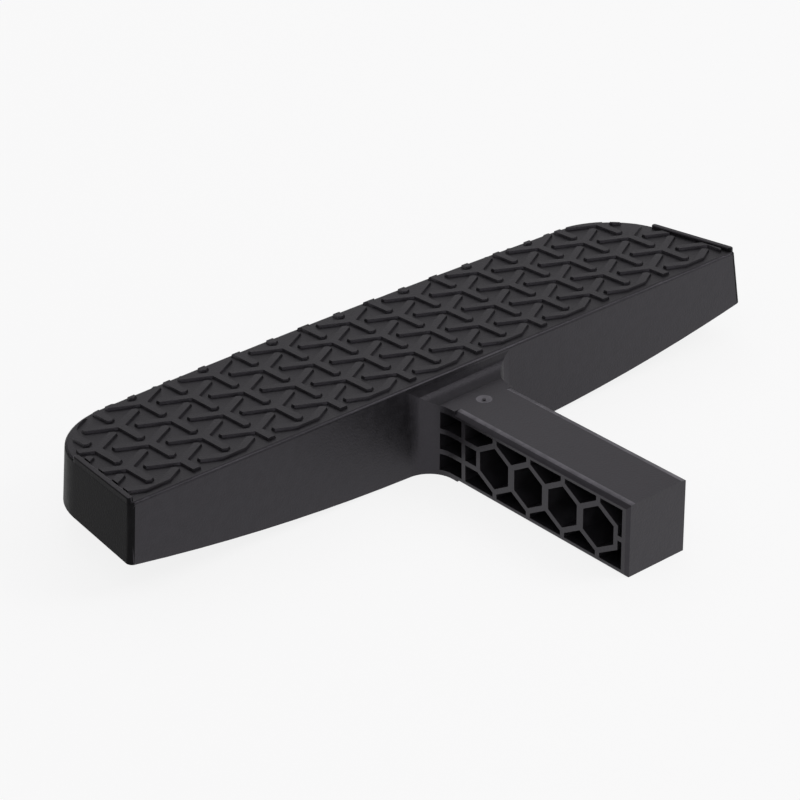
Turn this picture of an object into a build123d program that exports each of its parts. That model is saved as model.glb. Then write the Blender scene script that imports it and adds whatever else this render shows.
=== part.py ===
from build123d import *
from math import atan2, ceil, cos, degrees, hypot, radians, sin, sqrt, tan
import os

os.makedirs("parts", exist_ok=True)

# Hitch receiver step, moulded in one piece. X runs along the deck, Y runs from the shank's tip to the
# deck's rear edge, Z is up, and the origin is the centre of the hitch-pin hole.

# Shank that slides into the receiver tube
shank_width = 50.0
shank_height = 50.0
shank_reach = 179.6
top_chamfer = 2.4
top_ease_width = 3.2
top_ease_drop = 0.45
bottom_chamfer = 1.6
tip_chamfer = 2.0
shank_web = 4.0
top_flange = 4.7
bottom_flange = 3.7
tip_wall = 5.0
root_wall = 12.5
pin_diameter = 16.5

# Honeycomb ribs in the shank's side pockets
cell_rib = 3.5
shared_rib = 5.5
cell_pitch = 30.7
cell_wall = 14.8
cell_slope = 31.0
first_wall = 10.2
post_set_back = 20.2
pin_cell = 2

# Root where the shank flares into the deck
flare_radius = 19.0
root_reach = 23.5
sweep_radius = 12.0

# Dimple on top of the shank with the stub of the moulding gate
gate_diameter = 10.5
gate_depth = 0.9
gate_set_back = 24.5
stub_diameter = 2.2

# Deck, which falls a little to the rear
deck_length = 511.0
deck_depth = 121.0
deck_rise = 13.2
deck_pitch = 2.9
deck_thickness = 4.0
wall_thickness = 4.0
end_wall = 39.6
end_taper = 6.4
end_draft = 7.0
rear_bow = 6.5
rear_corner = 54.0
front_corner = 3.5
edge_round = 2.2

# Ribs on the underside
rib_thickness = 3.0
rib_spacing = 44.0

# Raised lip along each end
lip_width = 4.0
lip_height = 2.6
lip_start = 2.0
lip_end = 72.0
lip_round = 0.8

# Tread of three-armed bars with pointed tips and drafted sides
tread_pitch = 32.6
tread_reach = 24.1
tread_width = 6.2
tread_height = 1.8
tread_draft = 16.0
tread_column_x = 23.5
tread_row_y = 20.45
tread_front_margin = 6.0
tread_rear_margin = 3.0
tread_end_margin = 5.5
tread_arms = 3
tread_arm_angle = 30.0

# Places that follow from the sizes
pocket_height = shank_height - bottom_flange - top_flange
tip_y = -(first_wall + (pin_cell - 0.5) * cell_pitch)
bottom_z = -(bottom_flange + pocket_height / 2)
shank_top_z = bottom_z + shank_height
front_y = tip_y + shank_reach
deck_height = shank_height + deck_rise
top_z = bottom_z + deck_height
pocket_start_y = tip_y + tip_wall
pocket_end_y = front_y - root_wall

# Plane of the deck's top, with its own Y measured from the front edge
lean = radians(deck_pitch)
deck_top = Plane((0, front_y, top_z), x_dir=(1, 0, 0), z_dir=(0, sin(lean), cos(lean)))
deck_up = Axis(deck_top.origin, deck_top.z_dir)


def draw_outline(drop, front_in, end_in, rear_in):
    """Draw the deck's outline a drop below its top, with each edge moved inward."""
    spread = drop * tan(radians(end_draft))
    taper = radians(end_taper)
    rear = deck_depth + spread - rear_in
    corner_y = rear - rear_bow
    end_x = deck_length / 2 + (spread - end_in) / cos(taper)
    front_x = end_x - front_in * tan(taper)
    corner_x = end_x - corner_y * tan(taper)
    with BuildLine() as edge:
        ThreePointArc((-corner_x, corner_y), (0, rear), (corner_x, corner_y))
        Polyline((corner_x, corner_y), (front_x, front_in), (-front_x, front_in), (-corner_x, corner_y))
    make_face(edge.edges())
    fillet(vertices().sort_by(Axis.Y)[-2:], radius=rear_corner + spread - rear_in)
    fillet(vertices().sort_by(Axis.Y)[:2], radius=front_corner)


def draw_rib(start_y, start_z, end_y, end_z, thickness):
    """Leave a rib standing in the pocket sketch, long enough to close the joint at each end."""
    rise = end_z - start_z
    run = end_y - start_y
    middle = Location(((start_y + end_y) / 2, (start_z + end_z) / 2), degrees(atan2(rise, run)))
    with Locations(middle):
        Rectangle(hypot(run, rise) + cell_rib / sqrt(3), thickness, mode=Mode.SUBTRACT)


def spaced(span, largest):
    """Split a span into equal steps no longer than the largest, and give the places between them."""
    count = ceil(span / largest)
    return [span * place / count for place in range(1, count)]


# Shank with its flared root, pockets, ribs, web and pin hole
with BuildPart() as shank:
    # Plan of the root, square to the deck
    with BuildSketch(deck_top):
        with Locations((0, -root_reach)):
            Rectangle(shank_width, root_reach + wall_thickness / 2, align=(Align.CENTER, Align.MIN))
        with Locations((0, -flare_radius)):
            Rectangle(
                shank_width + 2 * flare_radius,
                flare_radius + wall_thickness / 2,
                align=(Align.CENTER, Align.MIN),
            )
            with GridLocations(shank_width + 2 * flare_radius, 1, 2, 1):
                Circle(flare_radius, mode=Mode.SUBTRACT)
    extrude(amount=-(deck_height + wall_thickness))

    # Top of the root, which sweeps up to the deck's front wall
    with BuildSketch(Plane.YZ):
        with BuildLine():
            CenterArc((front_y - sweep_radius, shank_top_z + sweep_radius), sweep_radius, -90, 90)
            Polyline(
                (front_y, shank_top_z + sweep_radius),
                (front_y + wall_thickness, shank_top_z + sweep_radius),
                (front_y + wall_thickness, bottom_z),
                (front_y - 2 * root_reach, bottom_z),
                (front_y - 2 * root_reach, shank_top_z),
                (front_y - sweep_radius, shank_top_z),
            )
        make_face()
    extrude(amount=deck_length, both=True, mode=Mode.INTERSECT)

    # Straight bar with chamfered edges, and a top that falls a little to each chamfer
    with BuildSketch(Plane.XZ.offset(-tip_y)):
        side_x = shank_width / 2
        ridge_x = side_x - top_chamfer
        ridge_z = shank_top_z - top_ease_drop
        right_side = [
            (side_x - bottom_chamfer, bottom_z),
            (side_x, bottom_z + bottom_chamfer),
            (side_x, ridge_z - top_chamfer),
            (ridge_x, ridge_z),
            (ridge_x - top_ease_width, shank_top_z),
        ]
        left_side = [(-x, z) for x, z in reversed(right_side)]
        Polygon(*right_side, *left_side, align=None)
    extrude(amount=-shank_reach)
    chamfer(shank.edges().filter_by(Axis.Z).group_by(Axis.Y)[0], length=tip_chamfer)

    # Side pockets, with the honeycomb left standing
    with BuildSketch(Plane.YZ):
        with Locations((pocket_start_y, 0)):
            Rectangle(pocket_end_y - pocket_start_y, pocket_height, align=(Align.MIN, Align.CENTER))
        post_y = pocket_end_y - post_set_back
        cells = int((post_y - tip_y - first_wall) / cell_pitch)
        wall_z = cell_wall / 2
        peak_z = wall_z + cell_pitch / 2 * tan(radians(cell_slope))
        first_y = tip_y + first_wall
        last_y = first_y + cells * cell_pitch
        for cell in range(cells + 1):
            wall_y = first_y + cell * cell_pitch
            wall_rib = shared_rib if 0 < cell < cells else cell_rib
            draw_rib(wall_y, -wall_z, wall_y, wall_z, wall_rib)
        for cell in range(cells):
            wall_y = first_y + cell * cell_pitch
            peak_y = wall_y + cell_pitch / 2
            for side in (-1, 1):
                draw_rib(wall_y, side * wall_z, peak_y, side * peak_z, cell_rib)
                draw_rib(peak_y, side * peak_z, wall_y + cell_pitch, side * wall_z, cell_rib)
                draw_rib(peak_y, side * peak_z, peak_y, side * pocket_height / 2, cell_rib)
        draw_rib(pocket_start_y, 0, first_y, 0, cell_rib)
        draw_rib(post_y, -pocket_height / 2, post_y, pocket_height / 2, cell_rib)
        for side in (-1, 1):
            draw_rib(last_y, side * wall_z, pocket_end_y, side * wall_z, cell_rib)
    extrude(amount=deck_length, both=True, mode=Mode.SUBTRACT)

    # Centre web with the hitch-pin hole
    with BuildSketch(Plane.YZ):
        with Locations((pocket_start_y, 0)):
            Rectangle(pocket_end_y - pocket_start_y, pocket_height, align=(Align.MIN, Align.CENTER))
        Circle(pin_diameter / 2, mode=Mode.SUBTRACT)
    extrude(amount=shank_web / 2, both=True)

    # Gate dimple and stub
    gate_y = front_y - gate_set_back
    gate_bowl = ((gate_diameter / 2) ** 2 + gate_depth**2) / (2 * gate_depth)
    with Locations((0, gate_y, shank_top_z - gate_depth + gate_bowl)):
        Sphere(gate_bowl, mode=Mode.SUBTRACT)
    with Locations((0, gate_y, shank_top_z)):
        Cylinder(stub_diameter / 2, 2 * gate_depth, align=(Align.CENTER, Align.CENTER, Align.MAX))

# Hollow under the deck, with its ribs left standing
with BuildPart() as hollow:
    for drop in (deck_thickness, deck_height + 2 * wall_thickness):
        with BuildSketch(deck_top.offset(-drop)):
            draw_outline(drop, wall_thickness, wall_thickness, wall_thickness)
    loft(ruled=True)
    side_rib = (shank_width - rib_thickness) / 2
    rib_places = [(0, 0), (side_rib, 0), (-side_rib, 0)]
    for place in spaced(deck_length / 2 - wall_thickness - side_rib, rib_spacing):
        rib_places += [(side_rib + place, 0), (-side_rib - place, 0)]
    row_places = []
    for place in spaced(deck_depth - wall_thickness, rib_spacing):
        row_places.append((0, wall_thickness + place))
    with BuildSketch(deck_top):
        with Locations(*rib_places):
            Rectangle(rib_thickness, 3 * deck_depth)
        with Locations(*row_places):
            Rectangle(2 * deck_length, rib_thickness)
    extrude(amount=-2 * deck_height, mode=Mode.SUBTRACT)

# One bar of the tread
with BuildPart() as bar:
    for rise in (0, tread_height):
        with BuildSketch(Plane.XY.offset(rise)):
            inset = rise * tan(radians(tread_draft))
            half = tread_width / 2 - inset
            reach = tread_reach - inset / cos(radians(tread_arm_angle))
            shoulder = reach - half * tan(radians(tread_arm_angle))
            arm = [(0, -half), (shoulder, -half), (reach, 0), (shoulder, half), (0, half)]
            with PolarLocations(0, tread_arms, start_angle=tread_arm_angle):
                Polygon(*arm, align=None)
    loft(ruled=True)

# Tread of bars on a hexagonal lattice, cut off at the border
with BuildPart(deck_top) as tread:
    column = tread_pitch * cos(radians(tread_arm_angle))
    columns = int(deck_length / 2 / column) + 1
    rows = int(deck_depth / tread_pitch) + 1
    centres = []
    for i in range(-columns, columns + 1):
        first_row = tread_row_y + tread_pitch / 2 * (i % 2)
        for j in range(-1, rows):
            centres.append((tread_column_x + i * column, first_row + j * tread_pitch))
    with Locations(*centres):
        add(bar.part)
    with BuildSketch(deck_top):
        draw_outline(0, tread_front_margin, tread_end_margin, tread_rear_margin)
    extrude(amount=tread_height, mode=Mode.INTERSECT)

# The whole moulding
with BuildPart() as step:
    for drop in (0, deck_height + wall_thickness):
        with BuildSketch(deck_top.offset(-drop)):
            draw_outline(drop, 0, 0, 0)
    loft(ruled=True)
    fillet(step.edges().group_by(deck_up)[-1], radius=edge_round)
    add(hollow.part, mode=Mode.SUBTRACT)
    add(shank.part)

    # Arched lower edge, level and flat across the shank
    with BuildSketch(Plane.XZ):
        arch_x = deck_length / 2 + end_wall * tan(radians(end_draft))
        arch_rise = deck_height - end_wall
        flat_x = shank_width / 2
        arch_centre = (arch_x**2 + arch_rise**2 - flat_x**2) / (2 * arch_rise)
        with Locations((0, bottom_z)):
            Rectangle(2 * deck_length, deck_height, align=(Align.CENTER, Align.MIN))
        with Locations((0, bottom_z + arch_centre)):
            Circle(sqrt(flat_x**2 + arch_centre**2), mode=Mode.SUBTRACT)
        with Locations((0, bottom_z)):
            Rectangle(2 * deck_length, deck_height, align=(Align.CENTER, Align.MAX))
    extrude(amount=2 * (shank_reach + deck_depth), both=True, mode=Mode.SUBTRACT)

    # End lips
    with BuildSketch(deck_top.offset(-edge_round)):
        lip_middle = (lip_start + lip_end) / 2
        taper = radians(end_taper)
        lip_x = deck_length / 2 - lip_middle * sin(taper) - lip_width / 2 * cos(taper)
        lip_y = lip_middle * cos(taper) - lip_width / 2 * sin(taper)
        for side in (-1, 1):
            with Locations((side * lip_x, lip_y)):
                SlotOverall(lip_end - lip_start, lip_width, rotation=90 + side * end_taper)
    extrude(amount=edge_round + lip_height)
    fillet(step.edges().group_by(deck_up)[-1], radius=lip_round)

    # Tread
    add(tread.part)

step.part.label = "step"
export_step(step.part, "parts/step.step")
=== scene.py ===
import math

import bmesh
import bpy
from mathutils import Matrix, Vector


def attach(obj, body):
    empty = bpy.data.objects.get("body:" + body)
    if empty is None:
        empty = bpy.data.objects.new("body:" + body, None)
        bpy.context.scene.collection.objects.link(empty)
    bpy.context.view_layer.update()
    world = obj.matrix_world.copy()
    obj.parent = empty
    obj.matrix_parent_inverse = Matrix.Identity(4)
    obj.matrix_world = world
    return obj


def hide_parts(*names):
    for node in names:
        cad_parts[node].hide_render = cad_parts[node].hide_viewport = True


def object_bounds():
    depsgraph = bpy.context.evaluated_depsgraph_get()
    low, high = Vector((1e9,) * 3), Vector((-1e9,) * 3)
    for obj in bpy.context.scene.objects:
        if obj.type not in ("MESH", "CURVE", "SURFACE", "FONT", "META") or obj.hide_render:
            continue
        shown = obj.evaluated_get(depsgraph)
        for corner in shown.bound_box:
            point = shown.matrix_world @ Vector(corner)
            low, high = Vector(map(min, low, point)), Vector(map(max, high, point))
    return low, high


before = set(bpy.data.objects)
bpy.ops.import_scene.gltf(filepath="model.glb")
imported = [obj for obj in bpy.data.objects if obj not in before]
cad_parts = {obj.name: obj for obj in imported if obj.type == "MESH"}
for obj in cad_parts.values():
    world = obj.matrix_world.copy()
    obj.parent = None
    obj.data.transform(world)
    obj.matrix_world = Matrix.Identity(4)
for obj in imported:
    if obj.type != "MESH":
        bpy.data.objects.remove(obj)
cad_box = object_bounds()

# All lengths are in metres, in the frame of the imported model: X along the board, Y from the shank's tip to
# the board's rear edge, Z up, origin at the centre of the hitch-pin hole.
MILLIMETRE = 0.001

# Moulded edges
WELD_DISTANCE = 0.002 * MILLIMETRE
FLAT_ANGLE = math.radians(0.1)
CREASE_ANGLE = math.radians(40.0)
EDGE_RADIUS = 0.35 * MILLIMETRE
EDGE_STEPS = 2

# The two lines where the shank's top starts to fall to its chamfers
EASE_LINE_X = 19.4 * MILLIMETRE
EASE_LINE_Z = 25.5 * MILLIMETRE
EASE_LINE_REACH = 0.02 * MILLIMETRE

# Colours and gloss of the plastic. The gloss is an index of refraction.
DECK_BLACK = (0.0062, 0.0060, 0.0067, 1.0)
DECK_GREY = (0.0112, 0.0108, 0.0121, 1.0)
SHANK_BLACK = (0.0095, 0.0092, 0.0102, 1.0)
SHANK_GREY = (0.0145, 0.0140, 0.0156, 1.0)
# A less glossy plastic that renders darker on the deck's ends, rear and front corners: painted shade
SHADE_BLACK = (0.0085, 0.0085, 0.0088, 1.0)
SHADE_GREY = (0.0115, 0.0115, 0.0119, 1.0)
# Lighter plastic on the rounded edges, the ease facets and the gate's dimple: a painted highlight
PAINTED_HIGHLIGHT_DARK = (0.062, 0.060, 0.066, 1.0)
PAINTED_HIGHLIGHT_LIGHT = (0.112, 0.108, 0.119, 1.0)
PLASTIC_TINT = (0.94, 0.89, 1.0, 1.0)
PLASTIC_IOR = 1.48
TREAD_IOR = 1.36
SHADE_IOR = 1.1

# Grain and mottling of the plastic
DECK_GRAIN_SIZE = 1.3 * MILLIMETRE
DECK_GRAIN_DEPTH = 0.14 * MILLIMETRE
SHANK_GRAIN_SIZE = 1.6 * MILLIMETRE
SHANK_GRAIN_DEPTH = 0.12 * MILLIMETRE
GRAIN_DETAIL = 3.0
CLOUD_SCALE = 140.0
CLOUD_DETAIL = 4.0
CLOUD_LOW = 0.35
CLOUD_HIGH = 0.65
LEAST_ROUGHNESS = 0.38
MOST_ROUGHNESS = 0.42

# Dark and light colour, grain size, grain depth and gloss of each finish
FINISHES = {
    "deck": (DECK_BLACK, DECK_GREY, DECK_GRAIN_SIZE, DECK_GRAIN_DEPTH, PLASTIC_IOR),
    "tread": (DECK_BLACK, DECK_GREY, DECK_GRAIN_SIZE, DECK_GRAIN_DEPTH, TREAD_IOR),
    # The painted shade of the ends, the rear and the front corners
    "painted_shade": (SHADE_BLACK, SHADE_GREY, DECK_GRAIN_SIZE, DECK_GRAIN_DEPTH, SHADE_IOR),
    "shank": (SHANK_BLACK, SHANK_GREY, SHANK_GRAIN_SIZE, SHANK_GRAIN_DEPTH, PLASTIC_IOR),
    # The lighter plastic of the painted highlight
    "painted_highlight": (PAINTED_HIGHLIGHT_DARK, PAINTED_HIGHLIGHT_LIGHT, SHANK_GRAIN_SIZE, SHANK_GRAIN_DEPTH, PLASTIC_IOR),
}

# Where the finishes of the deck lie. A turn or slope is a part of a face's unit normal.
DECK_FRONT_Y = 123.35 * MILLIMETRE
DECK_TOP_Z = 38.7 * MILLIMETRE
DECK_FALL = math.tan(math.radians(2.9))
RIM_DROP = 0.3 * MILLIMETRE
LIP_X = 250.5 * MILLIMETRE
# The painted shade takes the ends, the rear and the arcs of the front corners
FRONT_TURN = 0.12
DOWN_TURN = -0.5
TREAD_TURN = 0.8

# Where the finishes of the shank lie
ROOT_HALF = 60.0 * MILLIMETRE
WALL_TURN = 0.99
SWEEP_START = 108.0 * MILLIMETRE
SWEEP_TURN = 0.15
SWEEP_TOP = 0.999
EASE_SLOPE_LEAST = 0.1
EASE_SLOPE_MOST = 0.2
LEAST_DROP = 0.02 * MILLIMETRE
MOST_DROP = 1.0 * MILLIMETRE
# The gate's dimple gets the painted highlight
GATE_Y = 98.85 * MILLIMETRE
GATE_RADIUS = 5.3 * MILLIMETRE

# Camera
CAMERA_PLACE = Vector((-0.99724, -1.01194, 0.84124))
CAMERA_AZIMUTH = math.radians(-39.871)
CAMERA_ELEVATION = math.radians(28.663)
CAMERA_ROLL = math.radians(-0.956)
CAMERA_LENS = 120.93
CAMERA_SENSOR = 36.0
CAMERA_FAR = 100.0

# Floor and backdrop. The backdrop's foot and top are heights on the unit sphere.
FLOOR_GAP = 0.1 * MILLIMETRE
FLOOR_HALF = 12.0
FLOOR_PALE = (0.9, 0.9, 0.9, 1.0)
FLOOR_ROUGHNESS = 0.9
FLOOR_GLOW = 0.85
ROOM_TINT = (0.99, 0.97, 1.0, 1.0)
BACKDROP_LIGHT = 0.45
BACKDROP_FOOT = 0.1
BACKDROP_TOP = 0.25

# Soft fields of light: azimuth from +X and elevation in degrees, cosine of the field's edge, strength
FRONT_FIELD = (248.0, 6.0, 0.7, 0.9)
RIGHT_FIELD = (0.0, 25.0, 0.2, 0.58)
REAR_LEFT_FIELD = (125.0, 30.0, 0.2, 0.18)
LEFT_FIELD = (190.0, 25.0, 0.2, 0.15)
OVERHEAD_FIELD = (0.0, 90.0, 0.2, 0.4)

# Soft boxes: azimuth from +X and elevation in degrees, distance, size, watts
BOX_AIM = Vector((0.0, 0.1, 0.0))
REAR_BOX = (62.0, 42.0, 2.4, 0.8, 2.2)
FRONT_BOX = (318.0, 42.0, 2.2, 0.8, 8.0)

# The colour sockets of Blender's Mix node
MIX_FACTOR = 0
MIX_FIRST_COLOUR = 6
MIX_SECOND_COLOUR = 7
MIX_COLOUR_RESULT = 2


def new_group(name, inputs, outputs):
    """Start a shader node group with float or colour sockets and give its tree and its two end nodes."""
    tree = bpy.data.node_groups.new(name, "ShaderNodeTree")
    for socket, kind, value in inputs:
        tree.interface.new_socket(socket, in_out="INPUT", socket_type=kind).default_value = value
    for socket, kind in outputs:
        tree.interface.new_socket(socket, in_out="OUTPUT", socket_type=kind)
    return tree, tree.nodes.new("NodeGroupInput"), tree.nodes.new("NodeGroupOutput")


def mixed_colour(tree, factor, first, second):
    """Mix two colour sockets by a factor socket."""
    mix = tree.nodes.new("ShaderNodeMix")
    mix.data_type = "RGBA"
    tree.links.new(factor, mix.inputs[MIX_FACTOR])
    tree.links.new(first, mix.inputs[MIX_FIRST_COLOUR])
    tree.links.new(second, mix.inputs[MIX_SECOND_COLOUR])
    return mix.outputs[MIX_COLOUR_RESULT]


def mixed_shader(tree, share, first, second):
    """Mix two shaders by the second one's share."""
    mix = tree.nodes.new("ShaderNodeMixShader")
    tree.links.new(share, mix.inputs[0])
    tree.links.new(first, mix.inputs[1])
    tree.links.new(second, mix.inputs[2])
    return mix.outputs["Shader"]


def noise_at(tree, place, scale, detail):
    """A noise value at a place, with its scale from a socket."""
    noise = tree.nodes.new("ShaderNodeTexNoise")
    noise.inputs["Detail"].default_value = detail
    tree.links.new(place, noise.inputs["Vector"])
    tree.links.new(scale, noise.inputs["Scale"])
    return noise.outputs["Fac"]


def ranged(tree, value, start, end, low, high):
    """Stretch the part of a value between start and end over the range from low to high."""
    spread = tree.nodes.new("ShaderNodeMapRange")
    spread.inputs["From Min"].default_value = start
    spread.inputs["From Max"].default_value = end
    spread.inputs["To Min"].default_value = low
    spread.inputs["To Max"].default_value = high
    tree.links.new(value, spread.inputs["Value"])
    return spread.outputs["Result"]


def soft_ranged(tree, value, start, end, low, high):
    """Stretch a value as ranged does, with soft ends."""
    spread = ranged(tree, value, start, end, low, high)
    spread.node.interpolation_type = "SMOOTHSTEP"
    return spread


def moulded_grain_group():
    """Fine spark-eroded grain, with the faint cloudy mottling of black plastic."""
    tree, given, result = new_group(
        "moulded grain",
        [
            ("Dark", "NodeSocketColor", DECK_BLACK),
            ("Light", "NodeSocketColor", DECK_GREY),
            ("Grain Scale", "NodeSocketFloat", 1.0 / DECK_GRAIN_SIZE),
            ("Cloud Scale", "NodeSocketFloat", CLOUD_SCALE),
        ],
        [
            ("Color", "NodeSocketColor"),
            ("Roughness", "NodeSocketFloat"),
            ("Height", "NodeSocketFloat"),
        ],
    )
    place = tree.nodes.new("ShaderNodeTexCoord").outputs["Object"]
    grain = noise_at(tree, place, given.outputs["Grain Scale"], GRAIN_DETAIL)
    cloud = noise_at(tree, place, given.outputs["Cloud Scale"], CLOUD_DETAIL)
    shade = ranged(tree, cloud, CLOUD_LOW, CLOUD_HIGH, 0.0, 1.0)
    colour = mixed_colour(tree, shade, given.outputs["Dark"], given.outputs["Light"])
    roughness = ranged(tree, cloud, CLOUD_LOW, CLOUD_HIGH, LEAST_ROUGHNESS, MOST_ROUGHNESS)
    tree.links.new(colour, result.inputs["Color"])
    tree.links.new(roughness, result.inputs["Roughness"])
    tree.links.new(grain, result.inputs["Height"])
    return tree


def moulded_plastic(name, grain, dark, light, grain_size, grain_depth, gloss):
    """Moulded plastic with its own colours and grain, and its gloss as an index of refraction."""
    material = bpy.data.materials.new(name)
    material.use_nodes = True
    tree = material.node_tree
    shader = tree.nodes["Principled BSDF"]
    shader.inputs["IOR"].default_value = gloss
    shader.inputs["Specular Tint"].default_value = PLASTIC_TINT
    surface = tree.nodes.new("ShaderNodeGroup")
    surface.node_tree = grain
    surface.inputs["Dark"].default_value = dark
    surface.inputs["Light"].default_value = light
    surface.inputs["Grain Scale"].default_value = 1.0 / grain_size
    bump = tree.nodes.new("ShaderNodeBump")
    bump.inputs["Strength"].default_value = 1.0
    bump.inputs["Distance"].default_value = grain_depth
    tree.links.new(surface.outputs["Height"], bump.inputs["Height"])
    tree.links.new(surface.outputs["Color"], shader.inputs["Base Color"])
    tree.links.new(surface.outputs["Roughness"], shader.inputs["Roughness"])
    tree.links.new(bump.outputs["Normal"], shader.inputs["Normal"])
    return material


def on_ease_line(place):
    """True on the two lines where the shank's top starts to fall to its chamfers."""
    return max(abs(abs(place.x) - EASE_LINE_X), abs(place.z - EASE_LINE_Z)) < EASE_LINE_REACH


def rounded_moulding(node, name):
    """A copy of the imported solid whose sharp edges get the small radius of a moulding."""
    mesh = node.data.copy()
    mesh.name = name
    if "custom_normal" in mesh.attributes:
        mesh.attributes.remove(mesh.attributes["custom_normal"])
    form = bmesh.new()
    form.from_mesh(mesh)
    bmesh.ops.remove_doubles(form, verts=form.verts, dist=WELD_DISTANCE)
    bmesh.ops.dissolve_limit(form, angle_limit=FLAT_ANGLE, verts=form.verts, edges=form.edges)
    form.to_mesh(mesh)
    form.free()
    mesh.shade_smooth()
    mesh.set_sharp_from_angle(angle=CREASE_ANGLE)
    for edge in mesh.edges:
        ends = [mesh.vertices[corner].co for corner in edge.vertices]
        if all(on_ease_line(end) for end in ends):
            edge.use_edge_sharp = True
    piece = bpy.data.objects.new(name, mesh)
    bpy.context.scene.collection.objects.link(piece)
    rounding = piece.modifiers.new("moulded edges", "BEVEL")
    rounding.width = EDGE_RADIUS
    rounding.segments = EDGE_STEPS
    rounding.limit_method = "ANGLE"
    rounding.angle_limit = CREASE_ANGLE
    shading = piece.modifiers.new("flat faces stay flat", "WEIGHTED_NORMAL")
    shading.keep_sharp = True
    return piece


def drop_below_deck(place):
    """How far a place lies below the plane of the deck's top."""
    return DECK_TOP_Z - (place.y - DECK_FRONT_Y) * DECK_FALL - place.z


def deck_finish(face):
    """Pick the finish of a face of the deck: a less glossy plastic that renders darker on the ends, the rear
    and the front corners, as painted shade, and matt on the tread.
    """
    if drop_below_deck(face.center) > RIM_DROP or abs(face.center.x) > LIP_X:
        turned = abs(face.normal.x) > FRONT_TURN or face.normal.y > FRONT_TURN
        # Painted shade on the turned faces below the deck's top and beyond the lips
        if turned and DOWN_TURN < face.normal.z < TREAD_TURN:
            return "painted_shade"
    return "tread" if face.normal.z > TREAD_TURN else "deck"


def on_shank(face):
    """True on the shank, its flares and its sweep, up to the deck's front wall."""
    front_wall = face.center.y > SWEEP_START and face.normal.y < -WALL_TURN
    return abs(face.center.x) < ROOT_HALF and face.center.y < DECK_FRONT_Y and not front_wall


def shank_finish(face):
    """Pick the finish of a face of the shank.

    The sweep up to the deck is as matt as the tread. The ease facets and the gate's dimple get a lighter
    plastic, a painted highlight.
    """
    centre = face.center
    if centre.y > SWEEP_START and face.normal.y < 0.0 and SWEEP_TURN < face.normal.z < SWEEP_TOP:
        return "tread"
    # The ease facets and the gate's dimple get the painted highlight
    ease_highlight = abs(centre.x) > EASE_LINE_X and EASE_SLOPE_LEAST < abs(face.normal.x) < EASE_SLOPE_MOST
    gate_highlight = math.hypot(centre.x, centre.y - GATE_Y) < GATE_RADIUS and face.normal.z > TREAD_TURN
    near_top = EASE_LINE_Z - MOST_DROP < centre.z < EASE_LINE_Z - LEAST_DROP
    return "painted_highlight" if near_top and (ease_highlight or gate_highlight) else "shank"


def finish_moulding(piece, finishes):
    """Give each face of the moulding its own finish, and the rounded edges the lighter plastic of a painted
    highlight.
    """
    piece.data.materials.clear()
    for material in finishes.values():
        piece.data.materials.append(material)
    places = list(finishes)
    for face in piece.data.polygons:
        finish = shank_finish(face) if on_shank(face) else deck_finish(face)
        face.material_index = places.index(finish)
    # The bevelled edges get the painted highlight
    piece.modifiers["moulded edges"].material = places.index("painted_highlight")


def photo_camera():
    """A camera where the photograph was taken from."""
    lens = bpy.data.cameras.new("photo camera")
    lens.lens = CAMERA_LENS
    lens.sensor_width = CAMERA_SENSOR
    lens.clip_end = CAMERA_FAR
    camera = bpy.data.objects.new("photo camera", lens)
    turn = Matrix.Rotation(CAMERA_AZIMUTH, 4, "Z")
    turn = turn @ Matrix.Rotation(math.pi / 2 - CAMERA_ELEVATION, 4, "X")
    turn = turn @ Matrix.Rotation(CAMERA_ROLL, 4, "Z")
    camera.matrix_world = Matrix.Translation(CAMERA_PLACE) @ turn
    bpy.context.scene.collection.objects.link(camera)
    bpy.context.scene.camera = camera


def direction_at(azimuth, elevation):
    """A unit vector at an azimuth counted from +X and an elevation, in degrees."""
    turn = math.radians(azimuth)
    rise = math.radians(elevation)
    return Vector((math.cos(turn) * math.cos(rise), math.sin(turn) * math.cos(rise), math.sin(rise)))


def soft_box(name, azimuth, elevation, distance, size, watts):
    """A square soft box turned to the step, at an azimuth counted from +X and an elevation in degrees."""
    lamp = bpy.data.lights.new(name, "AREA")
    lamp.shape = "SQUARE"
    lamp.size = size
    lamp.energy = watts
    place = BOX_AIM + distance * direction_at(azimuth, elevation)
    box = bpy.data.objects.new(name, lamp)
    box.location = place
    box.rotation_euler = (BOX_AIM - place).to_track_quat("-Z", "Y").to_euler()
    bpy.context.scene.collection.objects.link(box)


def seen_or_mirrored(tree):
    """One for rays from the camera and for rays that mirror or pass through, and zero for others."""
    path = tree.nodes.new("ShaderNodeLightPath")
    seen = path.outputs["Is Camera Ray"]
    for ray in ("Is Glossy Ray", "Is Transmission Ray"):
        either = tree.nodes.new("ShaderNodeMath")
        either.operation = "MAXIMUM"
        tree.links.new(seen, either.inputs[0])
        tree.links.new(path.outputs[ray], either.inputs[1])
        seen = either.outputs["Value"]
    return seen


def pale_floor_material():
    """Nearly white to the eye and in reflections, with the step's shadow, and clear from below.

    It is clear from below so that the underside can be looked at.
    """
    material = bpy.data.materials.new("pale floor")
    material.use_nodes = True
    tree = material.node_tree
    paint = tree.nodes["Principled BSDF"]
    paint.inputs["Base Color"].default_value = FLOOR_PALE
    paint.inputs["Roughness"].default_value = FLOOR_ROUGHNESS
    glow = tree.nodes.new("ShaderNodeEmission")
    share = ranged(tree, seen_or_mirrored(tree), 0.0, 1.0, 0.0, FLOOR_GLOW)
    upper = mixed_shader(tree, share, paint.outputs["BSDF"], glow.outputs["Emission"])
    side = tree.nodes.new("ShaderNodeNewGeometry")
    clear = tree.nodes.new("ShaderNodeBsdfTransparent")
    both = mixed_shader(tree, side.outputs["Backfacing"], upper, clear.outputs["BSDF"])
    tree.links.new(both, tree.nodes["Material Output"].inputs["Surface"])
    return material


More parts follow.
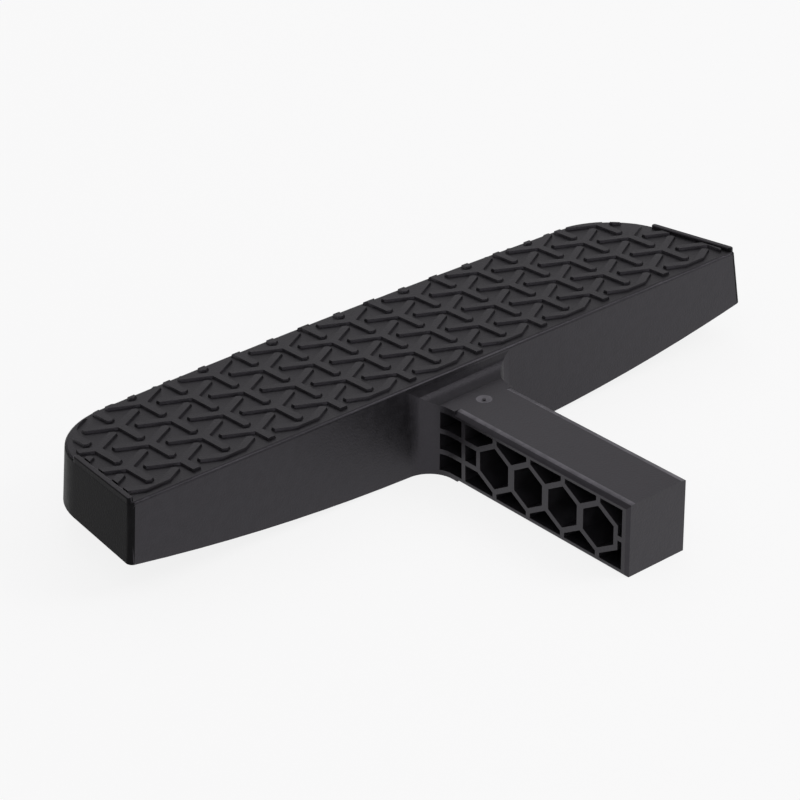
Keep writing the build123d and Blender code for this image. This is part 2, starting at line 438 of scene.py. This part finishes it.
def pale_floor(height):
    """A wide floor just below a height."""
    mesh = bpy.data.meshes.new("floor")
    level = height - FLOOR_GAP
    corners = [(-1, -1), (1, -1), (1, 1), (-1, 1)]
    mesh.from_pydata([(x * FLOOR_HALF, y * FLOOR_HALF, level) for x, y in corners], [], [(0, 1, 2, 3)])
    mesh.materials.append(pale_floor_material())
    floor = bpy.data.objects.new("floor", mesh)
    bpy.context.scene.collection.objects.link(floor)


def studio_room(fields):
    """A room with a pale low backdrop, and fields of light that fade with the angle from their centres."""
    world = bpy.data.worlds.new("studio room")
    bpy.context.scene.world = world
    world.use_nodes = True
    tree = world.node_tree
    background = tree.nodes["Background"]
    background.inputs["Color"].default_value = ROOM_TINT
    place = tree.nodes.new("ShaderNodeTexCoord").outputs["Generated"]
    height = tree.nodes.new("ShaderNodeSeparateXYZ")
    tree.links.new(place, height.inputs["Vector"])
    light = soft_ranged(tree, height.outputs["Z"], BACKDROP_FOOT, BACKDROP_TOP, BACKDROP_LIGHT, 0.0)
    for azimuth, elevation, edge, strength in fields:
        nearness = tree.nodes.new("ShaderNodeVectorMath")
        nearness.operation = "DOT_PRODUCT"
        nearness.inputs[1].default_value = direction_at(azimuth, elevation)
        tree.links.new(place, nearness.inputs[0])
        field = soft_ranged(tree, nearness.outputs["Value"], edge, 1.0, 0.0, strength)
        total = tree.nodes.new("ShaderNodeMath")
        tree.links.new(light, total.inputs[0])
        tree.links.new(field, total.inputs[1])
        light = total.outputs["Value"]
    tree.links.new(light, background.inputs["Strength"])


# The moulding
moulding = rounded_moulding(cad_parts["step"], "moulding")
grain = moulded_grain_group()
plastics = {}
for finish, values in FINISHES.items():
    plastics[finish] = moulded_plastic(finish + " plastic", grain, *values)
finish_moulding(moulding, plastics)
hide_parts("step")
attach(moulding, "root")

# The studio
photo_camera()
pale_floor(cad_box[0][2])
studio_room((FRONT_FIELD, RIGHT_FIELD, REAR_LEFT_FIELD, LEFT_FIELD, OVERHEAD_FIELD))
soft_box("rear box", *REAR_BOX)
soft_box("front box", *FRONT_BOX)

bpy.context.scene.view_settings.view_transform = "Standard"
